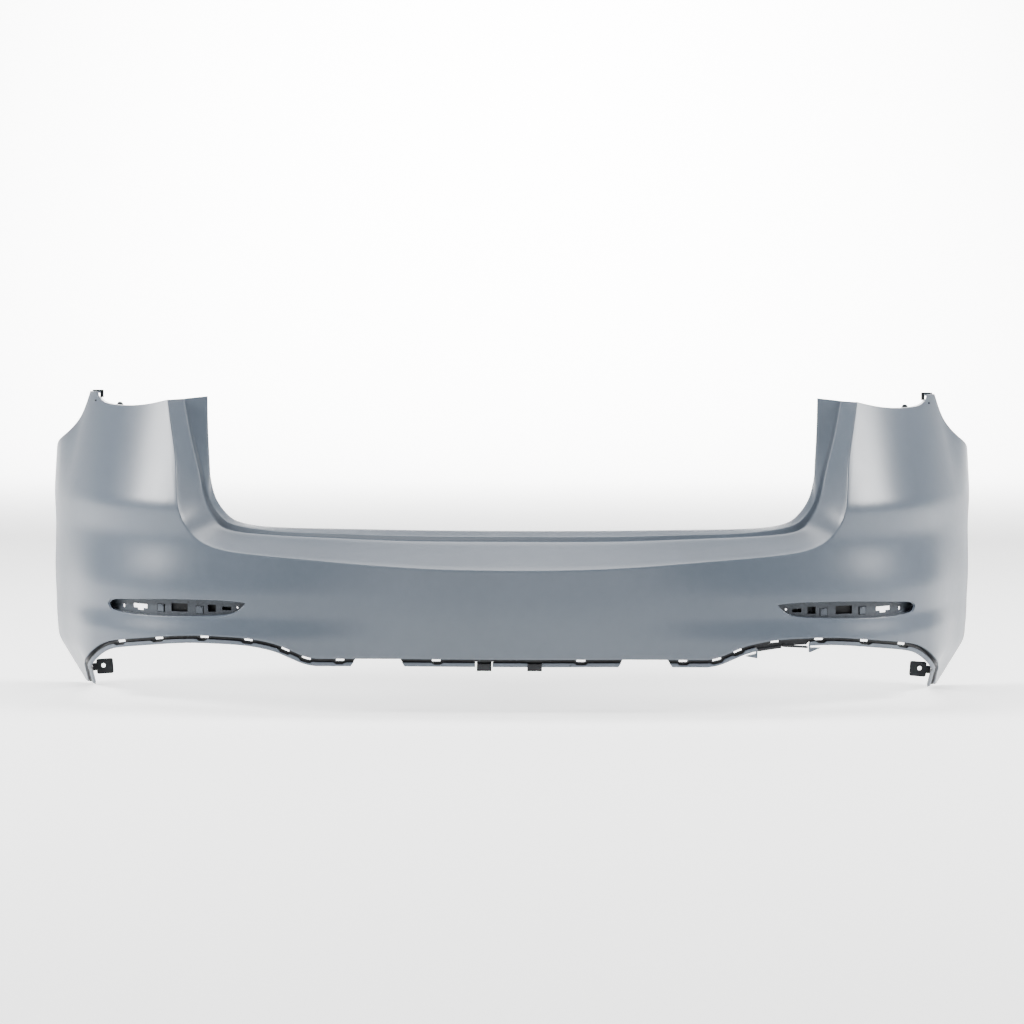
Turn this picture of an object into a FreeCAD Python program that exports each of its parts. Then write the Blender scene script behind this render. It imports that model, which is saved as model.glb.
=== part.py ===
"""Rear bumper cover of a mid-size SUV, as an assembly of separate pieces.

The row frame is in millimetres: X across the car, Y from the rear face towards the car, Z up.
The origin lies on the floor, in the middle of the cover's box.
"""
import FreeCAD, Part
import math
import os
import Sketcher
from FreeCAD import Placement, Rotation, Vector

doc = FreeCAD.newDocument("bumper_cover")

# ---------------------------------------------------------------- driving dimensions
SIZES = [
    ("half_width", 950.0, "middle of the cover to the wheel arch edge"),
    ("body_depth", 605.0, "rear face to the front of the side panels"),
    ("body_height", 604.0, "floor to the top of the side panels"),
    ("skin_wall", 3.0, "wall of the moulded skin"),
    ("return_depth", 16.0, "depth of the turned-in edges and of the lamp slot sleeve"),
    ("fit_gap", 0.4, "gap between a clipped-in piece and what it seats on"),
    ("slot_rise", 31.0, "height of a reflector slot"),
    ("slot_span", 276.0, "length of a reflector slot"),
    ("carrier_wall", 2.5, "wall of a reflector carrier"),
    ("carrier_margin", 9.0, "how far a carrier overlaps the sleeve all round"),
    ("latch_width", 14.0, "width and height of a snap latch pad"),
    ("latch_wall", 2.4, "wall of a snap latch pad"),
    ("rail_wall", 2.5, "wall of the lower rails"),
    ("rail_step", 12.0, "how far the groove of a rail lies behind the skin"),
    ("groove_rise", 9.0, "height of the groove in a rail"),
    ("lip_rise", 8.5, "height of the lip under the groove"),
    ("rail_flange", 20.0, "height of the rail's flange behind the skin"),
    ("window_span", 17.0, "length of a clip window in a rail"),
    ("window_rise", 4.4, "height of a clip window in a rail"),
    ("hook_width", 28.0, "width of a valance hook"),
    ("plate_width", 34.0, "width of an arch bracket's plate"),
    ("plate_rise", 31.0, "height of an arch bracket's plate"),
    ("plate_wall", 3.0, "wall of the arch brackets and the body brackets"),
    ("bolt_radius", 4.5, "radius of the bolt holes in the brackets"),
    ("stiffener_wall", 2.2, "wall of the inner stiffeners"),
    ("gusset_width", 20.0, "width of a valance gusset"),
    ("gusset_rise", 25.0, "height of a valance gusset"),
    ("rivet_radius", 2.4, "radius of a rivet's shank"),
    ("rivet_head", 5.0, "radius of a rivet's head"),
    ("screw_radius", 2.0, "radius of a carrier screw's shank"),
]
sheet = doc.addObject("Spreadsheet::Sheet", "sizes")
for row, (alias, value, note) in enumerate(SIZES, 1):
    sheet.set(f"A{row}", note)
    sheet.set(f"B{row}", str(value))
    sheet.setAlias(f"B{row}", alias)
doc.recompute()


def size(alias):
    """A driving dimension, in millimetres."""
    return float(sheet.get(alias))


half_width, body_depth, body_height = size("half_width"), size("body_depth"), size("body_height")
wall, gap, ret = size("skin_wall"), size("fit_gap"), size("return_depth")
# The freeform outlines below are drawn for these overall sizes and stretch with the sheet's.
across, along, upward = half_width / 950.0, body_depth / 605.0, body_height / 604.0


def at(x, y, z):
    return Vector(x * across, y * along, z * upward)


# ---------------------------------------------------------------- the skin's freeform surface
PLAN = [(0, 0), (220, 8), (420, 29), (560, 57), (660, 95), (748, 160), (818, 250),
        (870, 350), (916, 460), (946, 560), (958, 640)]
SHOULDER = 393.0


def mirrored(points):
    """Points of the right half, preceded by their mirror images."""
    return [Vector(-p.x, p.y, p.z) for p in points[:0:-1]] + list(points)


def spline(points, stations=None):
    curve = Part.BSplineCurve()
    if stations is None:
        curve.interpolate(Points=points)
    else:
        curve.interpolate(Points=points, Parameters=stations)
    return curve


plan_points = mirrored([at(x, y, 0) for x, y in PLAN])
run = [0.0]
for a, b in zip(plan_points, plan_points[1:]):
    run.append(run[-1] + (b - a).Length)
run = [r - run[-1] / 2 for r in run]
plan = spline(plan_points, run)
reach = run[-1]


def ease(low, high, t):
    """0 up to low, 1 past high, and a smooth step between."""
    t = min(max((t - low) / (high - low), 0.0), 1.0)
    return t * t * (3 - 2 * t)


def ramp(t, radius):
    """t where it is positive and 0 elsewhere, with a rounded corner."""
    if abs(t) >= radius:
        return max(t, 0.0)
    return (t + radius) ** 2 / (4 * radius)


def inset(s, z):
    """How far the surface lies inside the plan curve at that height."""
    s, z = abs(s) / across, z / upward
    side = ease(700, 1080, s)
    above = ramp(z - SHOULDER, 14)
    depth = (0.40 - 0.18 * side) * above - 0.0003 * (1 - side) * above * above
    depth -= 0.15 * ease(1090, 1265, s) * above
    lamp = ease(180, 520, s) * (1 - 0.75 * ease(860, 1100, s))
    tuck, flare, foot = ease(315, 400, z), ease(222, 345, z), ease(140, 185, z)
    depth += lamp * (5 * (1 - tuck) - 19 * (1 - flare) - 7 * (1 - foot))
    depth += (1 - lamp) * 0.06 * ramp(190 - z, 30)
    return depth + ease(880, 1010, s) * 0.50 * ramp(95 - z, 12)


def skin_point(s, z):
    s = min(max(s, -reach), reach)
    on_plan, forward = plan.value(s), plan.tangent(s)[0]
    outward = Vector(forward.y, -forward.x, 0)
    p = on_plan - outward * inset(s, z)
    return Vector(p.x, p.y, z)


def skin_normal(s, z):
    """The outward normal of the skin."""
    step = 1.0
    side = skin_point(s + step, z) - skin_point(s - step, z)
    up = skin_point(s, z + step) - skin_point(s, z - step)
    return side.cross(up).normalize()


def behind(s, z, depth):
    """A point that lies depth behind the skin's outer surface."""
    return skin_point(s, z) - skin_normal(s, z) * depth


def station(x, z, depth=0.0):
    """The distance along the skin at which a depth behind it is x from the middle at that height."""
    low, high = 0.0, reach - 2
    for _ in range(40):
        middle = (low + high) / 2
        p = behind(middle, z, depth) if depth else skin_point(middle, z)
        if p.x < abs(x):
            low = middle
        else:
            high = middle
    return math.copysign(low, x)


def on_skin(x, z, depth=0.0):
    """The point of the skin seen at x and z from behind the car."""
    return behind(station(x, z, depth), z, depth)


def frame_on_skin(x, z, depth):
    """A placement whose Z axis is the skin's outward normal and whose Y axis points up."""
    s = station(x, z, depth)
    normal = skin_normal(s, z)
    right = Vector(0, 0, 1).cross(normal).normalize()
    up = normal.cross(right)
    turn = FreeCAD.Matrix(right.x, up.x, normal.x, 0, right.y, up.y, normal.y, 0,
                          right.z, up.z, normal.z, 0, 0, 0, 0, 1)
    place = Placement(turn)
    place.Base = behind(s, z, depth)
    return place


def layer(front, back, s0=None, s1=None, z0=-30.0, z1=650.0):
    """The closed solid between two depths behind the skin's outer surface, in small patches."""
    s0, s1 = (-reach + 4, reach - 4) if s0 is None else (s0, s1)
    columns = max(6, int((s1 - s0) / 38))
    rows = max(6, int((z1 - z0) / 13))
    surfaces = []
    for depth in (front, back):
        grid = [[behind(s0 + (s1 - s0) * i / columns, z0 + (z1 - z0) * j / rows, depth)
                 for j in range(rows + 1)] for i in range(columns + 1)]
        surface = Part.BSplineSurface()
        surface.interpolate(grid)
        surfaces.append(surface)
    cuts = [breaks(surfaces[0].getUKnots(), 4), breaks(surfaces[0].getVKnots(), 12)]
    faces = []
    for u0, u1 in zip(cuts[0], cuts[0][1:]):
        for v0, v1 in zip(cuts[1], cuts[1][1:]):
            patches = [surface.copy() for surface in surfaces]
            for patch in patches:
                patch.segment(u0, u1, v0, v1)
            faces += [patch.toShape() for patch in patches]
            rims = [("uIso", u0)] * (u0 == cuts[0][0]) + [("uIso", u1)] * (u1 == cuts[0][-1])
            rims += [("vIso", v0)] * (v0 == cuts[1][0]) + [("vIso", v1)] * (v1 == cuts[1][-1])
            for kind, value in rims:
                curves = [getattr(patch, kind)(value).toShape() for patch in patches]
                faces.append(Part.makeRuledSurface(*curves))
    return solid_from(faces)


def breaks(knots, every):
    """Every few knots of a surface, with its first and last."""
    kept = list(knots[::every])
    if len(knots) - 1 - (len(kept) - 1) * every > every / 2:
        kept.append(knots[-1])
    kept[-1] = knots[-1]
    return kept


def solid_from(faces):
    """One closed solid from faces that share their edges."""
    shell = Part.Shell(faces)
    shell.sewShape()
    solid = Part.Solid(shell)
    if solid.Volume < 0:
        solid.reverse()
    return solid


# ---------------------------------------------------------------- outlines
def sampled(points, count=24):
    """Points spaced evenly along the spline through a few drawn ones."""
    return spline(points).discretize(count)


def shifted(points, distance):
    """A curve in the XZ plane moved sideways, to the left of its direction, by a distance."""
    moved = []
    for i, p in enumerate(points):
        before, after = points[max(i - 1, 0)], points[min(i + 1, len(points) - 1)]
        direction = Vector(after.x - before.x, 0, after.z - before.z).normalize()
        moved.append(Vector(p.x - direction.z * distance, 0, p.z + direction.x * distance))
    return moved


def outline(*pieces):
    """A closed wire. A piece is a list of points: two make a line, and more make a spline."""
    edges = []
    last = None
    for points in pieces:
        if last is not None and (points[0] - last).Length > 1e-6:
            edges.append(Part.makeLine(last, points[0]))
        if len(points) == 2:
            edges.append(Part.makeLine(*points))
        elif len(points) > 2:
            edges.append(spline(points).toShape())
        last = points[-1]
    first = pieces[0][0]
    if (last - first).Length > 1e-6:
        edges.append(Part.makeLine(last, first))
    return Part.Wire(edges)


def prism(wire, direction):
    return Part.Face(wire).extrude(direction)


def rear_prism(*pieces):
    """The outline in the XZ plane, extruded right through the cover along Y."""
    start = Vector(0, -250 * along, 0)
    moved = [[Vector(p.x, 0, p.z) + start for p in points] for points in pieces]
    return prism(outline(*moved), Vector(0, 1200 * along, 0))


def flip(points):
    """The mirror image of an outline's points, in the same order round the outline."""
    return [Vector(-p.x, p.y, p.z) for p in reversed(points)]


# The opening's surround, as stations from the middle of the sill to the top of the side panel.
CREASE = [(0, 276), (214, 281), (404, 295), (520, 304.5), (570, 313), (599, 325), (619, 342),
          (635, 367), (642.5, 395), (650, 480), (660, 536), (670, 592)]
VALLEY = [(0, 95, 324), (212, 98, 325), (372, 107, 330), (470, 116, 334), (522, 124, 338),
          (549, 130, 343), (567, 137, 353), (586, 146, 378), (597, 156, 402), (611, 180, 455),
          (629, 205, 520), (645, 236, 592)]
RIDGE = [(0, 97, 333), (212, 100, 334), (371, 109, 338), (467, 118, 342), (517, 126, 348),
         (542, 132, 354), (560, 138, 364), (579, 147, 386), (590, 157, 408), (604, 181, 459),
         (622, 206, 522), (638, 237, 593)]
EDGE = [(0, 122, 343), (213, 125, 344), (362, 132, 346), (458, 140, 348), (506, 148, 352),
        (532, 153, 358), (551, 158, 369), (574, 168, 398), (584, 176, 426), (590, 193, 468),
        (595, 217, 526), (599, 246, 597)]
surround = [mirrored([on_skin(x * across, z * upward) for x, z in CREASE])]
surround += [mirrored([at(*p) for p in row]) for row in (VALLEY, RIDGE, EDGE)]


def rooted(rows):
    """The surround's curves with the first one set inside the skin's wall."""
    inside = []
    for p, q in zip(rows[0], rows[1]):
        normal = skin_normal(station(p.x, p.z), p.z)
        inside.append(p - normal * (wall / 2) - (q - p).normalize() * (wall / 3))
    return [inside] + rows[1:]


# The skin's lower edge on the right half, from the middle to the tip of the wheel arch.
FLAT = [(0, 106), (372, 106)]
RISE = [(372, 106), (388, 108.5), (405, 114.5), (443, 130.5), (477, 139), (500, 142.5), (539, 145)]
ARCH = [(539, 145), (618, 145), (678, 139.5), (731, 132), (768, 125.5), (791, 119), (817, 104),
        (840, 82), (863, 51)]
TIP = [(863, 51), (865.5, 24), (866, -2)]
WING_TOP = [(670, 592), (708, 583), (753, 577.5), (795, 578), (816, 582), (832, 593)]
SPIKE = [(832, 593), (834, 600), (857, 600)]


def drawn(points):
    return [Vector(x * across, 0, z * upward) for x, z in points]


def lower_edge(first, last):
    """The drawn lower edge from one curve to another, as one list of evenly spaced points."""
    curves = [drawn(FLAT), sampled(drawn(RISE), 12), sampled(drawn(ARCH), 18)]
    points = []
    for curve in curves[first:last + 1]:
        points += curve if not points else curve[1:]
    return points


floor_line = 4 * upward
far = 1300 * across


def rear_region(top_shrink, past_crease, past_edge):
    """The skin's outline from behind: moved in at its top, and past the crease and the lower edge."""
    lower = lower_edge(0, 2)
    lower[0] = Vector(0, 0, lower[0].z - past_edge)
    lower[1:] = shifted(lower_edge(0, 2), -past_edge)[1:]
    tip = [Vector(p.x - past_edge, 0, p.z) for p in drawn(TIP)]
    base = -60 * upward if past_edge else floor_line
    tip = [lower[-1], Vector(tip[2].x, 0, base)]
    crease = drawn(CREASE)
    crease = [Vector(p.x - past_crease * ease(500, 620, p.x / across), 0, p.z + past_crease)
              for p in crease]
    top = [p - Vector(0, 0, top_shrink) for p in drawn(WING_TOP)]
    spike = [p - Vector(0, 0, top_shrink) for p in drawn(SPIKE)]
    corner = [Vector(far, 0, base), Vector(far, 0, spike[-1].z)]
    right = [lower[:2], lower[1:13], lower[12:], tip, corner,
             [spike[2], spike[1]], [spike[1], spike[0]], list(reversed(top)),
             list(reversed(crease))]
    left = [flip(piece) for piece in reversed(right)]
    return rear_prism(*right, *left)


# The side panel's outline, in the YZ plane: the wheel arch edge and the seam above it.
ARCH_EDGE = [(482, -4), (492, 45), (500, 90), (506, 130), (514, 180), (526, 240), (541, 300),
             (562, 372), (582, 425), (603, 478)]
SEAM = [(603, 478), (560, 494), (510, 511), (474, 530), (452, 548), (436, 572), (424, 612)]


def side_region(shrink):
    """The side panel's outline seen from the side, moved in at the wheel arch and the seam."""
    edge = [Vector(-far, (y - shrink) * along, z * upward) for y, z in ARCH_EDGE]
    seam = [Vector(-far, (y - shrink) * along, (z - 1.3 * shrink) * upward) for y, z in SEAM]
    edge[-1] = seam[0] = Vector(-far, seam[0].y, seam[0].z)
    back = [Vector(-far, -250 * along, 700 * upward), Vector(-far, -250 * along, -80 * upward)]
    top = Vector(-far, seam[-1].y, 700 * upward)
    foot = Vector(-far, edge[0].y, -80 * upward)
    wire = outline([foot, edge[0]], edge, seam, [seam[-1], top], back)
    return prism(wire, Vector(2 * far, 0, 0))


# A reflector slot on the right half, from its outer nose round its lower and upper edges.
slot_middle = Vector(648 * across, 0, 196.5 * upward)
SLOT_LOW = [(0.5, -0.08), (0.488, -0.295), (0.45, -0.47), (0.33, -0.57), (0.04, -0.546), (-0.18, -0.458),
            (-0.36, -0.336), (-0.44, -0.124), (-0.51, 0.44)]
SLOT_TOP = [(-0.51, 0.44), (-0.40, 0.53), (-0.18, 0.562), (0.08, 0.498), (0.33, 0.338), (0.45, 0.23),
            (0.488, 0.075), (0.5, -0.08)]



def slot_prism(side, grow=0.0):
    """A reflector slot's outline, grown all round, extruded through the cover."""
    span, rise = size("slot_span"), size("slot_rise")
    curves = []
    for shape in (SLOT_LOW, SLOT_TOP):
        curves.append([slot_middle + Vector(x * span, 0, z * rise) for x, z in shape])
    dense = [spline(c).discretize(16) for c in curves]
    if grow:
        ring = dense[0][:-1] + dense[1][:-1]
        middle = slot_middle
        grown = []
        for i, p in enumerate(ring):
            tangent = ring[(i + 1) % len(ring)] - ring[i - 1]
            normal = Vector(-tangent.z, 0, tangent.x).normalize()
            if normal.dot(p - middle) < 0:
                normal = -normal
            grown.append(p + normal * grow)
        cut_at = len(dense[0]) - 1
        dense = [grown[:cut_at + 1], grown[cut_at:] + grown[:1]]
    if side < 0:
        dense = [flip(points) for points in reversed(dense)]
    return rear_prism(*dense)


def box_prism(x0, x1, z0, z1):
    """A plain rectangle seen from behind, extruded right through the cover."""
    box = Part.makeBox(abs(x1 - x0), 1200 * along, abs(z1 - z0))
    box.translate(Vector(min(x0, x1), -250 * along, min(z0, z1)))
    return box


def drill(x, z, radius, depth=0.0, axis=None, length=80.0):
    """A round cutter through the skin's layers at x and z, along the skin's normal or an axis."""
    place = frame_on_skin(x, z, depth)
    direction = place.Rotation.multVec(Vector(0, 0, 1)) if axis is None else axis
    return Part.makeCylinder(radius, length, place.Base - direction * length / 2, direction)


# ---------------------------------------------------------------- document helpers
subparts = []


def feature(label, shape):
    """A piece whose shape comes from the freeform surface."""
    piece = doc.addObject("Part::Feature", label)
    piece.Label = label
    piece.Shape = shape
    return piece


def combine(kind, label, base, tool):
    """A Part::Cut, Part::Common or Part::Fuse of two objects of the document."""
    piece = doc.addObject(kind, label)
    piece.Label = label
    piece.Base = base
    piece.Tool = tool
    return piece


def cut(label, base, *tools):
    tool = tools[0] if len(tools) == 1 else Part.makeCompound(list(tools))
    base = base if hasattr(base, "Name") else feature(label + "_blank", base)
    return combine("Part::Cut", label, base, feature(label + "_tools", tool))


def subpart(piece):
    subparts.append(piece)
    return piece


def named(side):
    return "right" if side > 0 else "left"


def body_at(label, place):
    """A PartDesign body of its own label, laid where the piece sits."""
    body = doc.addObject("PartDesign::Body", label)
    body.Label = label
    body.Placement = place
    return body


def sketch_on(body, role, name):
    sketch = body.newObject("Sketcher::SketchObject", name)
    plane = next(o for o in body.Origin.OriginFeatures if o.Role == role)
    sketch.AttachmentSupport = (plane, "")
    sketch.MapMode = "FlatFace"
    return sketch


def bind(sketch, index, name, expression):
    sketch.renameConstraint(index, name)
    sketch.setExpression("Constraints." + name, expression)


def polygon(sketch, corners):
    """Straight sides through the corners; each coordinate is a (value, expression) pair."""
    first = sketch.GeometryCount
    count = len(corners)
    for i in range(count):
        a, b = corners[i], corners[(i + 1) % count]
        sketch.addGeometry(Part.LineSegment(Vector(a[0][0], a[1][0], 0), Vector(b[0][0], b[1][0], 0)))
    for i in range(count):
        sketch.addConstraint(Sketcher.Constraint("Coincident", first + i, 2, first + (i + 1) % count, 1))
    for i, corner in enumerate(corners):
        for kind, (value, expression) in zip(("DistanceX", "DistanceY"), corner):
            index = sketch.addConstraint(Sketcher.Constraint(kind, -1, 1, first + i, 1, value))
            if expression:
                bind(sketch, index, f"corner{first + i}{kind[-1]}", expression)


def rectangle(sketch, x0, x1, y0, y1):
    """A rectangle between four (value, expression) bounds."""
    polygon(sketch, [(x0, y0), (x1, y0), (x1, y1), (x0, y1)])


def circle(sketch, x, y, radius, name):
    """A circle round (x, y), its radius bound to a driving dimension."""
    index = sketch.addGeometry(Part.Circle(Vector(x[0], y[0], 0), Vector(0, 0, 1), size(radius)))
    for kind, (value, expression) in zip(("DistanceX", "DistanceY"), (x, y)):
        at_index = sketch.addConstraint(Sketcher.Constraint(kind, -1, 1, index, 3, value))
        if expression:
            bind(sketch, at_index, name + kind[-1], expression)
    bind(sketch, sketch.addConstraint(Sketcher.Constraint("Radius", index, size(radius))),
         name + "Radius", "sizes." + radius)


def pad(body, sketch, name, length, backward=False):
    """A Pad of the sketch, its length given by an expression."""
    extrusion = body.newObject("PartDesign::Pad", name)
    extrusion.Profile = sketch
    extrusion.Reversed = backward
    extrusion.setExpression("Length", length)
    sketch.Visibility = False
    return extrusion


def fixed(value):
    return (value, None)


def sized(expression):
    """The value of a simple expression in the sheet's aliases, with the expression itself."""
    names = {alias: size(alias) for alias, _, _ in SIZES}
    total = 0.0
    for term in expression.replace("- ", "+ -").split("+ "):
        product = 1.0
        for factor in term.split("*"):
            word = factor.strip()
            if word.startswith("-"):
                product, word = -product, word[1:]
            product *= names[word] if word in names else float(word)
        total += product
    for word in sorted(names, key=len, reverse=True):
        expression = expression.replace(word, "sizes." + word)
    return (total, expression)


# ---------------------------------------------------------------- skin
def hidden_side(curves, depth):
    """The surround's curves moved a depth to their hidden side, mitred at every crease."""
    moved = [[] for _ in curves]
    for i in range(len(curves[0])):
        last = len(curves[0]) - 1
        along_row = curves[0][min(i + 1, last)] - curves[0][max(i - 1, 0)]
        normals = []
        for a, b in zip(curves, curves[1:]):
            normals.append((b[i] - a[i]).cross(along_row).normalize())
        for k, row in enumerate(curves):
            before = normals[max(k - 1, 0)]
            after = normals[min(k, len(normals) - 1)]
            moved[k].append(row[i] + (before + after) * (depth / (1 + before.dot(after))))
    return moved


def band_solid(rows_a, rows_b, first=0, last=None):
    """The closed solid between two sets of curves, from one station of theirs to another."""
    last = len(rows_a[0]) - 1 if last is None else last
    stations = [float(i) for i in range(last - first + 1)]
    curves = [[spline(row[first:last + 1], stations).toShape() for row in rows]
              for rows in (rows_a, rows_b)]
    faces = [Part.makeRuledSurface(a, b) for side in curves for a, b in zip(side, side[1:])]
    faces += [Part.makeRuledSurface(curves[0][k], curves[1][k]) for k in (0, -1)]
    for i in (first, last):
        for k in range(len(rows_a) - 1):
            front = Part.makeLine(rows_a[k][i], rows_a[k + 1][i])
            back = Part.makeLine(rows_b[k][i], rows_b[k + 1][i])
            faces.append(Part.makeRuledSurface(front, back))
    return solid_from(faces)


block = layer(0, ret)
block = feature("skin_block", block)
from_behind = feature("skin_outline_rear", rear_region(0, 0, 0))
from_side = feature("skin_outline_side", side_region(0))
blank = combine("Part::Common", "skin_blank", block, from_behind)
blank = combine("Part::Common", "skin_trimmed", blank, from_side)
hollow = layer(wall, ret + 8, -reach + 2, reach - 2)
hollow = hollow.common(rear_region(wall, 30, 30)).common(side_region(wall))
hollow = hollow.cut([slot_prism(side, wall) for side in (1, -1)])
shell = combine("Part::Cut", "skin_shell", blank, feature("skin_hollow", hollow))
slots = feature("skin_slots", Part.makeCompound([slot_prism(side) for side in (1, -1)]))
shell = combine("Part::Cut", "skin_slotted", shell, slots)
strip_rows = rooted(surround)
strip = feature("skin_surround", band_solid(strip_rows, hidden_side(strip_rows, wall)))
skin = combine("Part::Fuse", "skin_fused", shell, strip)
pin_place = (836 * across, 583 * upward)
pin_hole = feature("pin_holes", Part.makeCompound([
    drill(side * pin_place[0], pin_place[1], size("screw_radius") + gap, length=2.6 * wall)
    for side in (1, -1)]))
skin = subpart(combine("Part::Cut", "bumper_skin", skin, pin_hole))

# ---------------------------------------------------------------- reflector carriers and latches
carrier_depth = ret + gap
for side in (1, -1):
    sheet_part = layer(carrier_depth, carrier_depth + size("carrier_wall"),
                       *sorted((side * 380 * across, side * 930 * across)), 140 * upward, 260 * upward)
    blank = sheet_part.common(slot_prism(side, size("carrier_margin")))
    middle = slot_middle.z
    back_depth = carrier_depth + size("carrier_wall")
    windows = [box_prism(side * a * across, side * b * across, (middle + c), (middle + d))
               for a, b, c, d in ((706, 735, -7, 1), (714, 726, -11, -6.9), (623, 656, -9, 7),
                                  (567, 583, -7, 7), (537, 555, -3, 4))]
    latch = size("latch_width")
    for x in (677, 599):
        half = latch / 2 + 2.5 * gap
        windows.append(box_prism(side * x * across - half, side * x * across + half,
                                 middle - 4 - half, middle - 4 + half))
    windows.append(drill(side * 757 * across, middle - 6, size("bolt_radius") - 0.5, carrier_depth))
    windows.append(drill(side * 525 * across, middle + 3, size("screw_radius"), carrier_depth))
    subpart(cut("reflector_carrier_" + named(side), blank, *windows))
    for x, spot in ((677, "outer"), (599, "inner")):
        label = f"reflector_latch_{spot}_{named(side)}"
        place = frame_on_skin(side * x * across, middle - 4, back_depth)
        body = body_at(label, place)
        low, high = sized("-0.5 * latch_width"), sized("0.5 * latch_width")
        face = sketch_on(body, "XY_Plane", label + "_face")
        rectangle(face, low, high, low, high)
        pad(body, face, label + "_pad", "sizes.latch_wall")
        doc.recompute()
        nose = sketch_on(body, "XY_Plane", label + "_nose")
        rectangle(nose, sized("-0.3 * latch_width"), sized("0.3 * latch_width"),
                  sized("0.5 * latch_width - latch_wall"), high)
        pad(body, nose, label + "_hook", "sizes.latch_wall + 2.5 * sizes.fit_gap * 2")
        subpart(body)

# ---------------------------------------------------------------- lower rails
rail_front = wall + gap
rail_back = size("rail_step") + size("rail_wall")
groove_low = -size("groove_rise")
lip_low = groove_low - size("lip_rise")
window_top = groove_low + 0.85 * size("groove_rise")


def rail_band(edge, low, high, ends=0.0):
    """The strip seen from behind between two heights over an edge, its ends cut on the slant."""
    top, bottom = shifted(edge, high), list(reversed(shifted(edge, low)))
    if ends:
        slant = ends * (high - low)
        top[0] -= Vector(slant, 0, 0)
        if edge[-1].x < 300 * across:
            top[-1] += Vector(slant, 0, 0)
    return rear_prism(top, bottom)


def edge_height(edge, x):
    """The height of a lower edge at x."""
    for a, b in zip(edge, edge[1:]):
        if a.x <= abs(x) <= b.x:
            return a.z + (b.z - a.z) * (abs(x) - a.x) / (b.x - a.x)
    return edge[0].z


def stake_place(x, edge):
    """Where a stake starts on the back of the skin, pointing forward through the rail's flange."""
    edge = edge if edge[0].x >= 0 else centre_edge
    z = edge_height(edge, x) + 0.6 * size("rail_flange")
    s = station(x, z)
    turn = Rotation(Vector(0, 0, 1), skin_normal(s, z) * -1)
    return Placement(behind(s, z, wall + gap / 2), turn)


def rail_shape(edge, side, cells, stakes, gaps=()):
    """A rail: a flange behind the skin, a set-back groove with clip windows, and a lip."""
    plain_edge = edge
    if side < 0:
        edge = flip(edge)
    ends = [station(p.x, p.z) for p in (edge[0], edge[-1])]
    span = (max(min(ends) - 60, -reach + 3), min(max(ends) + 60, reach - 3))
    heights = (-28.0, max(p.z for p in edge) + 45)

    def slab(front, back, low, high):
        return layer(front, back, *span, *heights).common(rail_band(edge, low, high))

    rail = slab(rail_front, rail_back, lip_low, size("rail_flange"))
    rail = rail.common(side_region(wall + gap))
    rail = rail.common(Part.makeBox(2 * far, far, far, Vector(-far, -250 * along, 0)))
    rail_w = size("rail_wall")
    rail = rail.cut(slab(rail_front + rail_w, rail_back + 9, rail_w, size("rail_flange") + 9))
    rail = rail.cut(slab(rail_front - 9, size("rail_step"), groove_low, -gap))
    rail = rail.cut(slab(rail_front + rail_w, rail_back + 9, lip_low - 9, groove_low - rail_w))
    holes = rail_band(edge, window_top - size("window_rise"), window_top)
    for x0, x1 in cells:
        rail = rail.cut(holes.common(box_prism(x0, x1, -50, 700 * upward)))
    for x in stakes:
        place = stake_place(x * across, plain_edge)
        hole = Part.makeCylinder(size("rivet_radius") + gap, 6 * wall)
        hole.Placement = place
        rail = rail.cut(hole)
    for x0, x1 in gaps:
        notch = rail_band(edge, lip_low - 20, groove_low)
        rail = rail.cut(notch.common(box_prism(x0, x1, -50, 700 * upward)))
    return rail


side_edge = lower_edge(1, 2)[:-1] + sampled(drawn([(855, 62.5)] + TIP), 8)
side_edge[0] = Vector(297 * across, 0, side_edge[0].z)
centre_edge = [Vector(x * across, 0, 106 * upward) for x in range(-210, 211, 70)]
WINDOWS = {
    1: (325, 392, 430, 503, 594, 686, 768),
    -1: (770, 693, 607, 443, 402, 331, 315),
    0: (-142, 134),
}
LINK_SPAN = (466, 572)


def cells(side, spread=1.0):
    half = size("window_span") / 2 * spread
    middles = [x * (side or 1) * across for x in WINDOWS[side]]
    return [(x - half, x + half) for x in middles]


hooks_at = [x * across for x in (-52, 44)]
hook_half = size("hook_width") / 2
hook_gaps = [(x - hook_half - gap, x + hook_half + gap) for x in hooks_at]
link_gap = [(LINK_SPAN[0] * across, LINK_SPAN[1] * across)]
STAKES = (-790, -720, -640, -540, -420, -330, -185, -95, 0, 95, 185, 330, 420, 540, 640, 720, 790)
near = [x for x in STAKES if abs(x) < 250]
rails = {
    "lower_rail_right": rail_shape(side_edge, 1, cells(1), [x for x in STAKES if x > 250], link_gap),
    "lower_rail_left": rail_shape(side_edge, -1, cells(-1), [x for x in STAKES if x < -250]),
    "lower_rail_centre": rail_shape(centre_edge, 1, cells(0), near, hook_gaps),
}
for label, shape in rails.items():
    subpart(feature(label, shape))

# ---------------------------------------------------------------- heat stakes that hold the rails
stakes = []
for number, x in enumerate(STAKES, 1):
    place = stake_place(x * across, centre_edge if abs(x) < 250 else side_edge)
    shank = doc.addObject("Part::Cylinder", f"stake_shank_{number}")
    shank.setExpression("Radius", "sizes.rivet_radius")
    shank.setExpression("Height", "sizes.rail_wall + 2 * sizes.fit_gap")
    shank.Placement = place
    head = doc.addObject("Part::Cylinder", f"stake_head_{number}")
    head.setExpression("Radius", "sizes.rivet_head")
    head.setExpression("Height", "sizes.rivet_radius")
    head.Placement = place * Placement(Vector(0, 0, size("rail_wall") + 1.5 * gap), Rotation())
    stakes.append(combine("Part::Fuse", f"stake_{number}", shank, head))
group = doc.addObject("Part::Compound", "heat_stakes")
group.Label = "heat_stakes"
group.Links = stakes
subpart(group)

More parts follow.
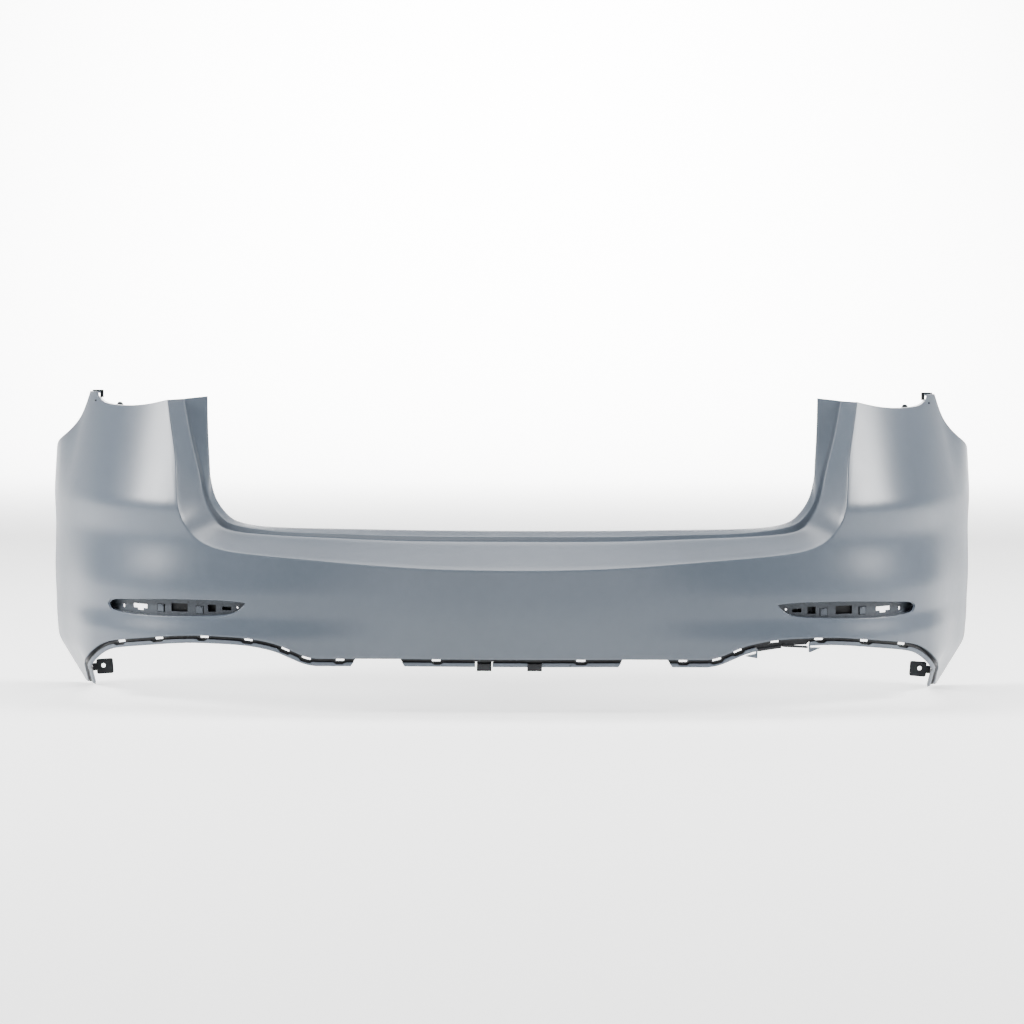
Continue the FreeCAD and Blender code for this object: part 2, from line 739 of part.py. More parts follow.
# ---------------------------------------------------------------- valance hooks in the centre rail
for x in hooks_at:
    label = "valance_hook_" + ("right" if x > 0 else "left")
    low = centre_edge[0].z + groove_low
    place = Placement(Vector(x - hook_half, on_skin(x, low).y, low), Rotation())
    body = body_at(label, place)
    profile = sketch_on(body, "YZ_Plane", label + "_profile")
    deep = "rail_step + rail_wall + 2 * fit_gap"
    front, drop = sized("0.5 * rail_step"), sized("-1.6 * lip_rise")
    polygon(profile, [
        (front, drop), (sized("0.5 * rail_step + rail_wall"), drop),
        (sized("0.5 * rail_step + rail_wall"), sized("-1 * rail_wall - fit_gap")),
        (sized(deep + " + rail_wall"), sized("-1 * rail_wall - fit_gap")),
        (sized(deep + " + rail_wall"), sized("1.5 * groove_rise")),
        (sized(deep), sized("1.5 * groove_rise")), (sized(deep), sized("-1 * fit_gap")),
        (front, sized("-1 * fit_gap"))])
    pad(body, profile, label + "_pad", "sizes.hook_width")
    subpart(body)


def side_station(y, z, side):
    """The distance along the skin at which the side panel lies y from the rear face."""
    low, high = 0.0, reach - 2
    for _ in range(40):
        middle = (low + high) / 2
        if skin_point(middle, z).y < y:
            low = middle
        else:
            high = middle
    return side * low


# ---------------------------------------------------------------- arch brackets
for side in (1, -1):
    label = "arch_bracket_" + named(side)
    spot = Vector(side * 831.5 * across, 462 * along, 36.5 * upward)
    skew = Rotation(Vector(0, 1, 0), side * 4)
    body = body_at(label, Placement(spot, skew))
    face = sketch_on(body, "XZ_Plane", label + "_outline")
    half_w, half_r = "0.5 * plate_width", "0.5 * plate_rise"
    rectangle(face, sized("-" + half_w), sized(half_w), sized("-" + half_r), sized(half_r))
    circle(face, fixed(side * 3.0), fixed(1.5), "bolt_radius", "bolt")
    plate = pad(body, face, label + "_plate", "sizes.plate_wall")
    doc.recompute()
    corners = [f"Edge{i}" for i, e in enumerate(plate.Shape.Edges, 1)
               if len(e.Vertexes) == 2 and abs(abs(e.tangentAt(e.FirstParameter).y) - 1) < 1e-6
               and abs(e.Vertexes[0].Point.x) > size("plate_width") / 2 - 0.1]
    fillet = body.newObject("PartDesign::Fillet", label + "_corners")
    fillet.Base = (plate, corners)
    fillet.Radius = 0.12 * size("plate_width")
    doc.recompute()
    low_z = spot.z - size("plate_rise") / 4
    s = side_station(spot.y - size("plate_wall"), low_z, side)
    inner_x = abs(skin_point(s, low_z).x) - (rail_back + 3 * gap) / abs(skin_normal(s, low_z).x)
    long = inner_x - abs(spot.x) - size("plate_width") / 2 - 2.0
    tongue = sketch_on(body, "XZ_Plane", label + "_tongue")
    inner, outer = size("plate_width") / 2 - 1, size("plate_width") / 2 + long
    rectangle(tongue, fixed(min(side * inner, side * outer)), fixed(max(side * inner, side * outer)),
              sized("-0.25 * plate_rise"), sized("0.25 * plate_rise"))
    pad(body, tongue, label + "_foot", "sizes.plate_wall")
    subpart(body)

# ---------------------------------------------------------------- brackets behind the seam
for side in (1, -1):
    label = "seam_bracket_" + named(side)
    span = sorted((side * 900 * across, side * (reach - 3)))
    sheet_part = layer(wall + gap, wall + gap + size("plate_wall"), *span, 440 * upward, 640 * upward)
    sheet_part = sheet_part.common(side_region(wall + gap)).common(rear_region(wall + gap, 0, 0))
    inner_part = feature(label + "_inside", side_region(24))
    blank = feature(label + "_blank", sheet_part)
    rim = combine("Part::Cut", label + "_rim", blank, inner_part)
    holes = []
    for y, z in ((478, 511), (556, 478)):
        s = side_station(y * along, z * upward, side)
        holes.append(Part.makeCylinder(size("screw_radius"), 40, behind(s, z * upward, 25),
                                       skin_normal(s, z * upward)))
    tool = feature(label + "_holes", Part.makeCompound(holes))
    subpart(combine("Part::Cut", label, rim, tool))


def level_frame(x, z, depth, side):
    """A level placement on the skin: X along it, Y up, and Z outward."""
    s = station(side * x * across, z * upward)
    normal = skin_normal(s, z * upward)
    normal = Vector(normal.x, normal.y, 0).normalize()
    right = Vector(0, 0, 1).cross(normal)
    turn = FreeCAD.Matrix(right.x, 0, normal.x, 0, right.y, 0, normal.y, 0,
                          0, 1, 0, 0, 0, 0, 0, 1)
    place = Placement(turn)
    place.Base = skin_point(s, z * upward) - normal * depth
    return place


# ---------------------------------------------------------------- clips, tabs and pins at the corners
for side in (1, -1):
    label = "corner_clip_" + named(side)
    place = level_frame(845, 600, 0, side)
    place.Base += place.Rotation.multVec(Vector(-0.5 * size("latch_width"), 0, 0))
    body = body_at(label, place)
    profile = sketch_on(body, "YZ_Plane", label + "_profile")
    low, back = sized("fit_gap"), "-1 * return_depth - 2 * fit_gap"
    polygon(profile, [
        (low, sized("-1 * fit_gap")), (sized("fit_gap + plate_wall"), sized("-1 * fit_gap")),
        (sized("fit_gap + plate_wall"), sized(back + " - plate_wall")),
        (sized("-4 * plate_wall"), sized(back + " - plate_wall")),
        (sized("-4 * plate_wall"), sized(back)), (low, sized(back))])
    pad(body, profile, label + "_pad", "sizes.latch_width")
    subpart(body)

    label = "lamp_tab_" + named(side)
    body = body_at(label, level_frame(795, 578, ret + 2 * gap, side))
    face = sketch_on(body, "XY_Plane", label + "_outline")
    half, rise = 0.85 * size("latch_width"), 0.35 * size("latch_width")
    ends = [Vector(-half, -half, 0), Vector(half, -half, 0), Vector(half, 0, 0), Vector(-half, 0, 0)]
    for a, b in ((0, 1), (1, 2), (3, 0)):
        face.addGeometry(Part.LineSegment(ends[a], ends[b]))
    face.addGeometry(Part.Arc(ends[2], Vector(0, rise, 0), ends[3]))
    for line, end, other, start in ((0, 2, 1, 1), (2, 2, 0, 1), (1, 2, 3, 1), (3, 2, 2, 1)):
        face.addConstraint(Sketcher.Constraint("Coincident", line, end, other, start))
    for line, kind in ((0, "Horizontal"), (1, "Vertical"), (2, "Vertical")):
        face.addConstraint(Sketcher.Constraint(kind, line))
    hole = face.addGeometry(Part.Circle(Vector(0, -0.4 * half, 0), Vector(0, 0, 1), 1))
    bind(face, face.addConstraint(Sketcher.Constraint("Radius", hole, size("screw_radius"))),
         "holeRadius", "sizes.screw_radius")
    pad(body, face, label + "_pad", "sizes.rail_wall", backward=True)
    subpart(body)

    label = "locator_pin_" + named(side)
    pin = doc.addObject("Part::Cylinder", label)
    pin.Label = label
    pin.setExpression("Radius", "sizes.screw_radius")
    pin.setExpression("Height", "4 * sizes.skin_wall")
    inward = Placement(Vector(0, 0, -3.3 * wall), Rotation())
    pin.Placement = frame_on_skin(side * pin_place[0], pin_place[1], 0) * inward
    subpart(pin)

# ---------------------------------------------------------------- gussets and link bars, right side
lip_span = [x * across for x in LINK_SPAN]
for side, spot, x in ((-1, "inner", lip_span[0]), (1, "outer", lip_span[1])):
    label = "valance_gusset_" + spot
    foot = edge_height(side_edge, x) + lip_low
    place = Placement(Vector(x - side * gap, on_skin(x, foot).y + rail_front + gap, foot), Rotation())
    body = body_at(label, place)
    face = sketch_on(body, "XZ_Plane", label + "_outline")
    toward = "" if side > 0 else "-"
    away = "-" if side > 0 else ""
    drop = size("gusset_rise") * 0.42
    rise = size("lip_rise") - 2 * gap
    run_x = side * size("gusset_width")
    dip = edge_height(side_edge, x + run_x) + lip_low - foot - 4 * gap
    polygon(face, [
        (fixed(0.0), fixed(rise)), (fixed(0.0), fixed(-4 * gap)),
        (sized(toward + "1 * gusset_width"), fixed(dip)), (fixed(0.0), sized("-0.42 * gusset_rise")),
        (sized(away + "1 * rail_wall"), sized("-0.42 * gusset_rise")),
        (sized(away + "1 * rail_wall"), fixed(rise))])
    pad(body, face, label + "_pad", "sizes.rail_step", backward=True)
    subpart(body)

for spot, x0, x1, z0, z1, rise in (("inner", 470.5, 516, 121.5, 127.5, 4.5),
                                   ("outer", 517.5, 568, 129.5, 126.0, 4.0)):
    label = "link_bar_" + spot
    a, b = at(x0, 0, z0), at(x1, 0, z1)
    bar = doc.addObject("Part::Box", label)
    bar.Label = label
    bar.Length = (b - a).Length
    bar.setExpression("Width", "0.6 * sizes.rail_step")
    bar.setExpression("Height", f"{rise} * sizes.rail_wall / 2.5")
    tilt = Rotation(Vector(0, 1, 0), -math.degrees(math.atan2(b.z - a.z, b.x - a.x)))
    slew = Rotation(Vector(0, 0, 1), math.degrees(math.atan2(on_skin(b.x, b.z).y - on_skin(a.x, a.z).y,
                                                             b.x - a.x)))
    start = on_skin(a.x, a.z) + Vector(0, rail_front + 4 * gap, 0)
    bar.Placement = Placement(start, slew * tilt)
    subpart(bar)

# ---------------------------------------------------------------- stiffener under the sill
near_rows = hidden_side(surround, wall + gap)[2:]
far_rows = hidden_side(surround, wall + gap + size("stiffener_wall"))[2:]
subpart(feature("sill_stiffener", band_solid(near_rows, far_rows, 8, 14)))

# ---------------------------------------------------------------- origin, checks and export
doc.recompute()
whole = Part.makeCompound([piece.Shape for piece in subparts]).optimalBoundingBox(False)
to_origin = Vector(-(whole.XMin + whole.XMax) / 2, -(whole.YMin + whole.YMax) / 2, -whole.ZMin)
for piece in subparts:
    piece.Placement = Placement(to_origin, Rotation()) * piece.Placement
doc.recompute()

for thing in doc.Objects:
    broken = [state for state in thing.State if state in ("Invalid", "Error")]
    if broken:
        raise RuntimeError(f"{thing.Label} is {broken[0]}")
labels = [piece.Label for piece in subparts]
if len(set(labels)) != len(labels):
    raise RuntimeError("two pieces share a label")
for piece in subparts:
    if piece.Shape.isNull() or not piece.Shape.isValid() or not piece.Shape.Solids:
        raise RuntimeError(f"{piece.Label} has no valid shape")

os.makedirs("parts", exist_ok=True)
for piece in subparts:
    piece.Shape.exportStep(f"parts/{piece.Label}.step")
print(f"{len(subparts)} pieces, {whole.XLength:.1f} x {whole.YLength:.1f} x {whole.ZLength:.1f} mm")
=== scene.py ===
import math
import bpy
import bmesh
from mathutils import Matrix, Vector


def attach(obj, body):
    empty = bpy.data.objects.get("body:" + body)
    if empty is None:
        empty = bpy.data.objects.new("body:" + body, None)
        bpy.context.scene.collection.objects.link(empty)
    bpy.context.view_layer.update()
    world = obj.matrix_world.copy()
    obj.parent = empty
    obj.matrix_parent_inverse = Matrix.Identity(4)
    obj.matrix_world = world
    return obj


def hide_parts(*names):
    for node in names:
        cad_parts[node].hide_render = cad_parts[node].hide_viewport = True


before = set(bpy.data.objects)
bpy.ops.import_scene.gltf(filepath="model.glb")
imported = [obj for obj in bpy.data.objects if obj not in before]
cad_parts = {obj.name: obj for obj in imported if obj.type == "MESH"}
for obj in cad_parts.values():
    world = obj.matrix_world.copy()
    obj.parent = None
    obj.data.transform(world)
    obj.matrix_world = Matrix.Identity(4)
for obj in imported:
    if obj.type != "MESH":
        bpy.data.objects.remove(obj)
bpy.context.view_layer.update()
bpy.ops.object.select_all(action="DESELECT")
print("frame loaded:", len(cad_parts), "pieces")

# the skin is drawn in millimetres with its rear face at y = 0, then set in the frame
skinShape = {
    "plan": [(0, 0), (220, 8), (420, 29), (560, 57), (660, 95), (748, 160), (818, 250),
             (870, 350), (916, 460), (946, 560), (958, 640)],
    "shoulder": 393.0,
    "rearFace": -301.5,
    "wall": 3.0,
    "turnIn": 16.0, "turnInLeast": 0.12,             # the turned-in edges, and their least share at the spike
    "fadeFrom": 2.0, "fadeTo": 34.0,                 # how far from the spike they grow to their full depth
    "edgeRadius": 2.0, "edgeAngle": 38.0,
    "hemRadius": 0.7, "hemAngle": 62.0,
    "smoothAngle": 42.0,
}


def naturalSpline(stations, points):
    # smooth curve through the points; gives a place and a direction at any station
    size = len(stations)
    gaps = [stations[i + 1] - stations[i] for i in range(size - 1)]
    axes = range(len(points[0]))
    bends = []
    for axis in axes:
        upper, right = [0.0] * size, [0.0] * size
        for i in range(1, size - 1):
            slopeAfter = (points[i + 1][axis] - points[i][axis]) / gaps[i]
            slopeBefore = (points[i][axis] - points[i - 1][axis]) / gaps[i - 1]
            pivot = 2 * (gaps[i - 1] + gaps[i]) - gaps[i - 1] * upper[i - 1]
            upper[i] = gaps[i] / pivot
            right[i] = (6 * (slopeAfter - slopeBefore) - gaps[i - 1] * right[i - 1]) / pivot
        bend = [0.0] * size
        for i in range(size - 2, 0, -1):
            bend[i] = right[i] - upper[i] * bend[i + 1]
        bends.append(bend)

    def evaluate(station):
        i = 0
        while i < size - 2 and stations[i + 1] < station:
            i += 1
        a, b, gap = (stations[i + 1] - station) / gaps[i], (station - stations[i]) / gaps[i], gaps[i]
        place, heading = [], []
        for axis in axes:
            m0, m1 = bends[axis][i], bends[axis][i + 1]
            p0, p1 = points[i][axis], points[i + 1][axis]
            place.append(a * p0 + b * p1 + ((a ** 3 - a) * m0 + (b ** 3 - b) * m1) * gap * gap / 6)
            heading.append((p1 - p0) / gap + ((1 - 3 * a * a) * m0 + (3 * b * b - 1) * m1) * gap / 6)
        return place, heading

    return evaluate


def chordStations(points):
    total = [0.0]
    for a, b in zip(points, points[1:]):
        total.append(total[-1] + math.dist(a, b))
    return total


def bothHalves(points):
    return [tuple([-p[0], *p[1:]]) for p in points[:0:-1]] + list(points)


def easeStep(low, high, value):
    value = min(max((value - low) / (high - low), 0.0), 1.0)
    return value * value * (3 - 2 * value)


def softRamp(value, radius):
    if abs(value) >= radius:
        return max(value, 0.0)
    return (value + radius) ** 2 / (4 * radius)


planPoints = bothHalves(skinShape["plan"])
planRun = chordStations(planPoints)
reach = planRun[-1] / 2
planCurve = naturalSpline([r - reach for r in planRun], planPoints)


# how the skin leaves its plan curve; a pair is where an effect begins and ends
insetShape = {
    "shoulderSoft": 14.0, "lean": 0.40, "leanLess": 0.18, "leanHollow": 0.0003, "side": (700, 1080),
    "cornerLean": 0.15, "corner": (1090, 1265),
    "lampStart": (180, 520), "lampEnd": (860, 1100), "lampFall": 0.75,
    "tuck": (315, 400), "tuckDepth": 5.0, "flare": (222, 345), "flareDepth": 19.0,
    "foot": (140, 185), "footDepth": 7.0,
    "bellyTop": 190.0, "bellySoft": 30.0, "bellyLean": 0.06,
    "tipTop": 95.0, "tipSoft": 12.0, "tipLean": 0.50, "tip": (880, 1010),
}


def insetAt(run, height):
    # how far the skin lies inside its plan curve: shoulder lean, reflector hollow and flare, sill foot
    form, run = insetShape, abs(run)
    side = easeStep(*form["side"], run)
    above = softRamp(height - skinShape["shoulder"], form["shoulderSoft"])
    depth = (form["lean"] - form["leanLess"] * side) * above - form["leanHollow"] * (1 - side) * above * above
    depth -= form["cornerLean"] * easeStep(*form["corner"], run) * above
    lamp = easeStep(*form["lampStart"], run) * (1 - form["lampFall"] * easeStep(*form["lampEnd"], run))
    tuck, flare, foot = (easeStep(*form[part], height) for part in ("tuck", "flare", "foot"))
    depth += lamp * (form["tuckDepth"] * (1 - tuck) - form["flareDepth"] * (1 - flare)
                     - form["footDepth"] * (1 - foot))
    depth += (1 - lamp) * form["bellyLean"] * softRamp(form["bellyTop"] - height, form["bellySoft"])
    tip = easeStep(*form["tip"], run) * form["tipLean"]
    return depth + tip * softRamp(form["tipTop"] - height, form["tipSoft"])


def skinPoint(run, height):
    (x, y), (dx, dy) = planCurve(run)
    length = math.hypot(dx, dy)
    depth = insetAt(run, height)
    return Vector((x - dy / length * depth, y + dx / length * depth, height))


def skinNormal(run, height):
    sideways = skinPoint(run + 1, height) - skinPoint(run - 1, height)
    upwards = skinPoint(run, height + 1) - skinPoint(run, height - 1)
    return sideways.cross(upwards).normalized()


def runAt(value, height, axis=0):
    # how far along the skin it is that far across (axis 0) or forward (axis 1) at that height
    low, high = 0.0, reach - 1
    for _ in range(34):
        middle = (low + high) / 2
        if skinPoint(middle, height)[axis] < value:
            low = middle
        else:
            high = middle
    return low


def inFrame(point):
    return Vector((point[0], point[1] + skinShape["rearFace"], point[2])) * 0.001


# outlines of the right half: (x, height) on the rear, (y, height) on the side, all three in the surround
outlines = {
    "crease": [(0, 276), (214, 281), (404, 295), (520, 304.5), (570, 313), (599, 325), (619, 342),
               (635, 367), (642.5, 395), (650, 480), (660, 536), (670, 592)],
    "valley": [(0, 95, 324), (212, 98, 325), (372, 107, 330), (470, 116, 334), (522, 124, 338),
               (549, 130, 343), (567, 137, 353), (586, 146, 378), (597, 156, 402), (611, 180, 455),
               (629, 205, 520), (645, 236, 592)],
    "ridge": [(0, 97, 333), (212, 100, 334), (371, 109, 338), (467, 118, 342), (517, 126, 348),
              (542, 132, 354), (560, 138, 364), (579, 147, 386), (590, 157, 408), (604, 181, 459),
              (622, 206, 522), (638, 237, 593)],
    "rim": [(0, 122, 343), (213, 125, 344), (362, 132, 346), (458, 140, 348), (506, 148, 352),
            (532, 153, 358), (551, 158, 369), (574, 168, 398), (584, 176, 426), (590, 193, 468),
            (595, 217, 526), (599, 246, 597)],
    "rise": [(372, 106), (388, 108.5), (405, 114.5), (443, 130.5), (477, 139), (500, 142.5), (539, 145)],
    "belly": [(539, 145), (618, 145), (678, 139.5), (731, 132), (768, 125.5), (791, 119), (817, 104),
              (840, 82), (863, 51)],
    "tip": [(863, 51), (865.5, 24), (866, 4)],
    "wheelArch": [(484, 4), (492, 45), (500, 90), (506, 130), (514, 180), (526, 240), (541, 300),
                  (562, 372), (582, 425), (603, 478)],
    "seam": [(603, 478), (560, 494), (510, 511), (474, 530), (452, 548), (436, 572), (427, 600)],
    "wingTop": [(670, 592), (708, 583), (753, 577.5), (795, 578), (816, 582), (832, 593)],
    "spike": [(832, 593), (834, 600)],
}
flatEnd, lowEdge = outlines["rise"][0]    # the lower edge runs level across the middle
slotShape = {
    "middle": (648.0, 196.5), "span": 276.0, "rise": 31.0,
    "low": [(0.5, -0.08), (0.488, -0.295), (0.45, -0.47), (0.33, -0.57), (0.04, -0.546), (-0.18, -0.458),
            (-0.36, -0.336), (-0.44, -0.124), (-0.51, 0.44)],
    "top": [(-0.51, 0.44), (-0.40, 0.53), (-0.18, 0.562), (0.08, 0.498), (0.33, 0.338), (0.45, 0.23),
            (0.488, 0.075), (0.5, -0.08)],
    "sleeve": 16.0,
}
creaseStations = chordStations(bothHalves(outlines["crease"]))
halfCrease = creaseStations[-1] / 2
creaseStations = [c - halfCrease for c in creaseStations]
surroundCurves = {name: naturalSpline(creaseStations, bothHalves(outlines[name]))
                  for name in ("crease", "valley", "ridge", "rim")}


def splined(points):
    # a curve over shares from 0 to 1, and its length
    stations = chordStations(points)
    curve = naturalSpline(stations, points)
    return (lambda share: curve(share * stations[-1])[0]), stations[-1]


def onSkin(x, z):
    return (runAt(x, z), z)


def onSide(y, z):
    return (runAt(y, z, axis=1), z)


def shareOf(curve, value):
    # the share along a curve at which it is that far across
    low, high = 0.0, 1.0
    for _ in range(40):
        middle = (low + high) / 2
        if curve(middle)[0] < value:
            low = middle
        else:
            high = middle
    return low


def lowerPoint(x):
    if x <= flatEnd:
        return (x, lowEdge)
    if x <= outlines["belly"][0][0]:
        return tuple(riseCurve(shareOf(riseCurve, x)))
    return tuple(bellyCurve(shareOf(bellyCurve, x)))


def slotPoint(curve, share):
    a, b = curve(share)
    return (slotShape["middle"][0] + a * slotShape["span"], slotShape["middle"][1] + b * slotShape["rise"])


riseCurve = splined(outlines["rise"])[0]
bellyCurve, bellyLength = splined(outlines["belly"])
tipCurve, tipLength = splined(outlines["tip"])
archCurve, archLength = splined(outlines["wheelArch"])
seamCurve, seamLength = splined(outlines["seam"])
wingCurve = splined(outlines["wingTop"])[0]
slotLow = splined(slotShape["low"])[0]
slotTop = splined(slotShape["top"])[0]

grid = {
    "rimRows": 4, "sillRows": 7,                     # opening surround, from its rim to the crease
    "ridgeRadius": 1.6, "valleyRadius": 2.6, "creaseRadius": 2.4,
    "upperRows": 36, "lowerRows": 15,                # from the crease to the slot, from the slot down
    "middleColumns": 50, "slotColumns": 48,
    "slotStart": 505.0, "slotEndFoot": 822.0, "slotEndBack": 55.0,
    "slotInner": 0.012, "slotOuter": 0.985,          # shares of the slot's outline where its columns end
    "crowding": 1.15,                                # draws the middle's columns together towards the slot
    "splitAtMiddle": 0.50, "splitAtSlot": 0.547,     # share of a column that lies over the line of the slot
    "splitGap": 0.045, "splitGapLess": 0.017,
    "spacing": (6.0, 6.5, 3.5, 7.0, 7.0),            # belly, tip, foot, wheel arch, seam
    "footLength": 7.0,
}


def lerp(a, b, share):
    return tuple(p + (q - p) * share for p, q in zip(a, b))


def creaseAt(station):
    x, z = surroundCurves["crease"](station)[0]
    return onSkin(x, z)


def belowCrease(top, toward):
    # where the crease's rounding ends, on the way to a point lower on the skin
    away = grid["creaseRadius"] / math.dist(top, toward)
    return lerp(top, toward, away)


def stationAtCrease(x):
    low, high = 0.0, halfCrease
    for _ in range(40):
        middle = (low + high) / 2
        if surroundCurves["crease"](middle)[0][0] < x:
            low = middle
        else:
            high = middle
    return low


def buildColumns():
    # every column is (station on the crease, its points as (run, height) from the crease to the lower edge)
    up, down = grid["upperRows"], grid["lowerRows"]
    columns = []
    for i in range(grid["middleColumns"]):
        share = i / grid["middleColumns"]
        x = grid["slotStart"] * (1 - (1 - share) ** grid["crowding"])
        station = stationAtCrease(x)
        top, foot = creaseAt(station), onSkin(*lowerPoint(x))
        bend = easeStep(0.3, 1.0, share)
        cutTop = grid["splitAtMiddle"] + (grid["splitAtSlot"] - grid["splitAtMiddle"]) * bend
        cutLow = cutTop + grid["splitGap"] - grid["splitGapLess"] * bend
        high = lerp(top, foot, cutTop)
        points = [lerp(belowCrease(top, high), high, j / up) for j in range(up + 1)]
        points += [lerp(top, foot, cutLow + (1 - cutLow) * j / down) for j in range(down + 1)]
        columns.append((station, points, "plain"))
    startStation = stationAtCrease(grid["slotStart"])
    endStation = creaseStations[-3] - grid["slotEndBack"]
    for i in range(grid["slotColumns"] + 1):
        share = i / grid["slotColumns"]
        station = startStation + (endStation - startStation) * share
        top = creaseAt(station)
        along = grid["slotInner"] + (grid["slotOuter"] - grid["slotInner"]) * share
        high = onSkin(*slotPoint(slotTop, along))
        low = onSkin(*slotPoint(slotLow, 1 - along))
        foot = onSkin(*lowerPoint(grid["slotStart"] + (grid["slotEndFoot"] - grid["slotStart"]) * share))
        points = [lerp(belowCrease(top, high), high, j / up) for j in range(up + 1)]
        points += [lerp(low, foot, j / down) for j in range(down + 1)]
        columns.append((station, points, "slot"))
    # round the wheel arch and the seam to the top corner
    nose = columns[-1]
    bellyStart = shareOf(bellyCurve, grid["slotEndFoot"])
    lengths = [bellyLength * (1 - bellyStart), tipLength, grid["footLength"], archLength, seamLength]
    tipFoot, archFoot = onSkin(*outlines["tip"][-1]), onSide(*outlines["wheelArch"][0])
    legs = [lambda s: onSkin(*bellyCurve(bellyStart + (1 - bellyStart) * s)),
            lambda s: onSkin(*tipCurve(s)), lambda s: lerp(tipFoot, archFoot, s),
            lambda s: onSide(*archCurve(s)), lambda s: onSide(*seamCurve(s))]
    feet = []
    for leg, length, gap in zip(legs, lengths, grid["spacing"]):
        pieces = max(1, round(length / gap))
        feet += [leg(k / pieces) for k in range(1, pieces + 1)]
    flat = [nose[1][-1]] + feet
    walked = chordStations(flat)
    shares = rowShares(nose[1])
    wing = wingColumn(shares)
    for foot, walk in zip(feet, walked[1:]):
        turn = walk / walked[-1]
        station = nose[0] + (halfCrease - nose[0]) * turn
        top = belowCrease(creaseAt(station), foot)
        points = []
        for j, share in enumerate(shares):
            plain = lerp(top, foot, share)
            atNose = lerp(nose[1][0], nose[1][-1], share)
            atWing = lerp(wing[0], wing[-1], share)
            fromNose, fromWing = (1 - turn) ** 6, turn ** 3
            points.append(tuple(p + fromNose * (n - m) + fromWing * (w - v) for p, n, m, w, v in
                                zip(plain, nose[1][j], atNose, wing[j], atWing)))
        columns.append((station, points, "arch"))
    return columns


def rowShares(points):
    walked = chordStations(points)
    return [w / walked[-1] for w in walked]


def wingColumn(shares):
    # the top edge of the side panel, with its corners kept
    corner = onSide(*outlines["seam"][-1])
    spike = [onSkin(*p) for p in outlines["spike"]]
    path = [onSkin(*wingCurve(k / 40)) for k in range(41)] + [spike[1], corner]
    path[0] = belowCrease(path[0], path[1])
    walked = chordStations(path)
    wanted = [share * walked[-1] for share in shares]
    for stop in walked[40:42]:
        nearest = min(range(len(wanted)), key=lambda k: abs(wanted[k] - stop))
        wanted[nearest] = stop
    points = []
    for value in wanted:
        k = 0
        while k < len(walked) - 2 and walked[k + 1] < value:
            k += 1
        points.append(lerp(path[k], path[k + 1], (value - walked[k]) / (walked[k + 1] - walked[k])))
    return points


columns = buildColumns()
columnKinds = [kind for _, _, kind in columns]
archStart = len(columns) - columnKinds.count("arch")


def rounded(before, corner, after, radius, steps):
    # points of a rounded corner between two straight runs
    corner = Vector(corner)
    start = corner + (Vector(before) - corner).normalized() * radius
    end = corner + (Vector(after) - corner).normalized() * radius
    points = []
    for k in range(steps + 1):
        share = k / steps
        points.append(start * (1 - share) ** 2 + corner * 2 * share * (1 - share) + end * share ** 2)
    return points


def surroundPoints(station):
    # from the rim over the ridge, the valley and the sill to the crease
    rim, ridge, valley = (surroundCurves[name](station)[0] for name in ("rim", "ridge", "valley"))
    x, z = surroundCurves["crease"](station)[0]
    run = runAt(x, z)
    crease = skinPoint(run, z)
    below = skinPoint(*columnStart[station])
    ridgeArc = rounded(rim, ridge, valley, grid["ridgeRadius"], 2)
    valleyArc = rounded(ridge, valley, crease, grid["valleyRadius"], 3)
    creaseArc = rounded(valley, crease, below, grid["creaseRadius"], 4)
    rows = [Vector(rim).lerp(ridgeArc[0], j / grid["rimRows"]) for j in range(grid["rimRows"])]
    rows += ridgeArc + valleyArc[:-1]
    rows += [valleyArc[-1].lerp(creaseArc[0], j / grid["sillRows"]) for j in range(grid["sillRows"])]
    return rows + creaseArc[:-1]


columnStart = {station: points[0] for station, points, _ in columns}
surroundCache = [surroundPoints(station) for station, _, _ in columns]
creaseRow = len(surroundCache[0])
slotRow = creaseRow + grid["upperRows"]
rowCount = slotRow + 1 + grid["lowerRows"]
print("skin laid out:", len(columns), "columns,", rowCount, "rows")


def startEditing(piece, mode="VERT"):
    bpy.ops.object.select_all(action="DESELECT")
    piece.select_set(True)
    bpy.context.view_layer.objects.active = piece
    bpy.ops.object.mode_set(mode="EDIT")
    bpy.ops.mesh.select_mode(type=mode)
    bpy.ops.mesh.select_all(action="DESELECT")
    return bmesh.from_edit_mesh(piece.data)


def stopEditing(piece):
    bmesh.update_edit_mesh(piece.data)
    bpy.ops.object.mode_set(mode="OBJECT")


def finishWith(piece, kind, **settings):
    # adds a modifier, sets it and applies it
    bpy.ops.object.select_all(action="DESELECT")
    piece.select_set(True)
    bpy.context.view_layer.objects.active = piece
    bpy.ops.object.modifier_add(type=kind)
    modifier = piece.modifiers[-1]
    for name, value in settings.items():
        setattr(modifier, name, value)
    bpy.ops.object.modifier_apply(modifier=modifier.name)


def smoothBelow(piece, degrees):
    bpy.ops.object.select_all(action="DESELECT")
    piece.select_set(True)
    bpy.context.view_layer.objects.active = piece
    bpy.ops.object.shade_smooth_by_angle(angle=math.radians(degrees))


def placedGrid(name, wide, tall, placeOf):
    # a grid whose points are laid on the object: column i of the first row is placeOf(i, 0)
    bpy.ops.mesh.primitive_grid_add(x_subdivisions=wide - 1, y_subdivisions=tall - 1, size=2)
    piece = bpy.context.object
    piece.name = piece.data.name = name
    for vertex in piece.data.vertices:
        i, j = vertex.index % wide, vertex.index // wide
        vertex.co = inFrame(placeOf(i, tall - 1 - j))
    return piece


def skinPlace(i, j):
    if j < creaseRow:
        place = surroundCache[i][j]
    else:
        place = skinPoint(*columns[i][1][j - creaseRow])
    return (0.0, place[1], place[2]) if i == 0 else place


def pointIndex(i, j):
    return (rowCount - j) * len(columns) + i


def inDrawing(place):
    return Vector((place[0] * 1000, place[1] * 1000 - skinShape["rearFace"], place[2] * 1000))


